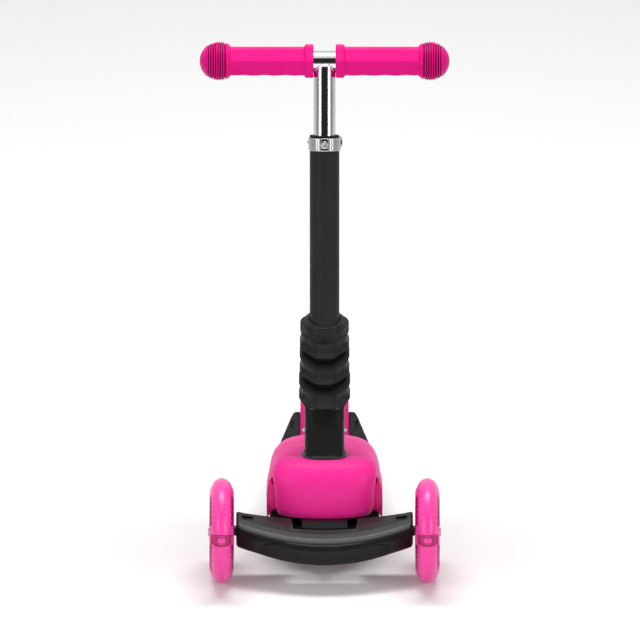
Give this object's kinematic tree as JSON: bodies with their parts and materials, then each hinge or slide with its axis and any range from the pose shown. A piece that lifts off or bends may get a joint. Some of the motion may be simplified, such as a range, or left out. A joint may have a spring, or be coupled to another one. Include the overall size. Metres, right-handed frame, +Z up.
{
  "type": "three wheel kids scooter",
  "caption": "Three wheel kick scooter for a child: lean to steer front axle, raked telescoping T bar with bellows at its foot, hooded deck and a spring fender brake over the rear wheel.",
  "frame": {"origin": "bottom centre of the bounding box, on the ground midway between the front of the front wheels and the back of the rear fender", "axes": "+Z up, +X across to the side of the clamp lever, the front wheels at -Y and the rear wheel at +Y"},
  "size_m": [0.2856, 0.515, 0.5681],
  "materials": {
    "pink_plastic": "glossy moulded",
    "pink_grip": "satin soft rubber",
    "pink_wheel": "cast urethane, slightly clear",
    "black_plastic": "satin moulded",
    "black_rubber": "matt",
    "black_tube": "satin powder coat",
    "chrome": "mirror plated",
    "steel": "zinc plated",
    "light_lens": "clear moulded"
  },
  "bodies": {
    "deck": {"deck_shell": "black_plastic", "deck_pad_left": "black_rubber", "deck_pad_right": "black_rubber", "deck_spine": "pink_plastic", "spine_screw_left": "steel", "spine_screw_right": "steel", "hood_nose": "pink_plastic", "hood_shoulder": "pink_plastic", "stem_socket": "black_plastic", "socket_gasket": "black_rubber", "bellows_boot": "black_rubber", "outer_tube": "black_tube", "stem_bolt": "steel", "stem_nut": "steel", "tube_bush": "black_plastic", "clamp_collar": "chrome", "clamp_skewer": "steel", "clamp_nut": "steel", "pivot_yoke": "black_plastic", "kingpin_bolt": "steel", "kingpin_washer": "steel", "steering_bush_lower": "black_rubber", "steering_bush_upper": "black_rubber", "yoke_bolt_left": "steel", "yoke_bolt_right": "steel", "rear_axle_bolt": "steel", "rear_axle_nut": "steel", "fender_pin": "steel"},
    "front_axle": {"axle_beam": "black_plastic", "beam_fascia": "black_plastic", "axle_bolt_left": "steel", "axle_bolt_right": "steel"},
    "front_wheel_left": {"front_tyre_left": "pink_wheel", "wheel_light_left": "light_lens", "front_hub_left": "pink_plastic", "front_wheel_left_bearing_left": "steel", "front_wheel_left_bearing_right": "steel", "front_wheel_left_spacer": "steel"},
    "front_wheel_right": {"front_tyre_right": "pink_wheel", "wheel_light_right": "light_lens", "front_hub_right": "pink_plastic", "front_wheel_right_bearing_left": "steel", "front_wheel_right_bearing_right": "steel", "front_wheel_right_spacer": "steel"},
    "rear_wheel": {"rear_tyre": "pink_wheel", "rear_hub": "pink_plastic", "rear_wheel_bearing_left": "steel", "rear_wheel_bearing_right": "steel", "rear_wheel_spacer": "steel"},
    "fender": {"rear_fender": "pink_plastic", "brake_plate": "steel"},
    "t_bar": {"bar_tube": "chrome", "handle_tube": "chrome", "grip_left": "pink_grip", "grip_right": "pink_grip", "guide_bush": "black_plastic"},
    "height_button": {"height_button": "chrome"},
    "clamp_lever": {"clamp_lever": "chrome"}
  },
  "joints": [
    {"name": "lean_steer", "type": "hinge", "parent": "deck", "child": "front_axle", "pos_m": [0, -0.17951, 0.042], "axis": [0, -0.6157, 0.788], "range_deg": [-12, 12], "stiffness_Nm_per_rad": 45},
    {"name": "front_wheel_left_spin", "type": "hinge", "parent": "front_axle", "child": "front_wheel_left", "pos_m": [-0.1175, -0.19751, 0.06], "axis": [1, 0, 0], "continuous": true},
    {"name": "front_wheel_right_spin", "type": "hinge", "parent": "front_axle", "child": "front_wheel_right", "pos_m": [0.1175, -0.19751, 0.06], "axis": [1, 0, 0], "continuous": true},
    {"name": "rear_wheel_spin", "type": "hinge", "parent": "deck", "child": "rear_wheel", "pos_m": [0, 0.21249, 0.04], "axis": [1, 0, 0], "continuous": true},
    {"name": "fender_brake", "type": "hinge", "parent": "deck", "child": "fender", "pos_m": [0, 0.17049, 0.071], "axis": [-1, 0, 0], "range_deg": [0, 2], "stiffness_Nm_per_rad": 3, "springref_deg": -2.86},
    {"name": "bar_height", "type": "slide", "parent": "deck", "child": "t_bar", "axis": [0, 0.3173, 0.9483], "range_m": [0, 0.16]},
    {"name": "height_button_press", "type": "slide", "parent": "deck", "child": "height_button", "axis": [0, 0.9483, -0.3173], "range_m": [0, 0.0032], "stiffness_N_per_m": 400, "springref_m": -0.002},
    {"name": "clamp_lever_swing", "type": "hinge", "parent": "deck", "child": "clamp_lever", "pos_m": [0.0142, 0.02364, 0.44809], "axis": [0, -0.3173, -0.9483], "range_deg": [0, 150]}
  ]
}
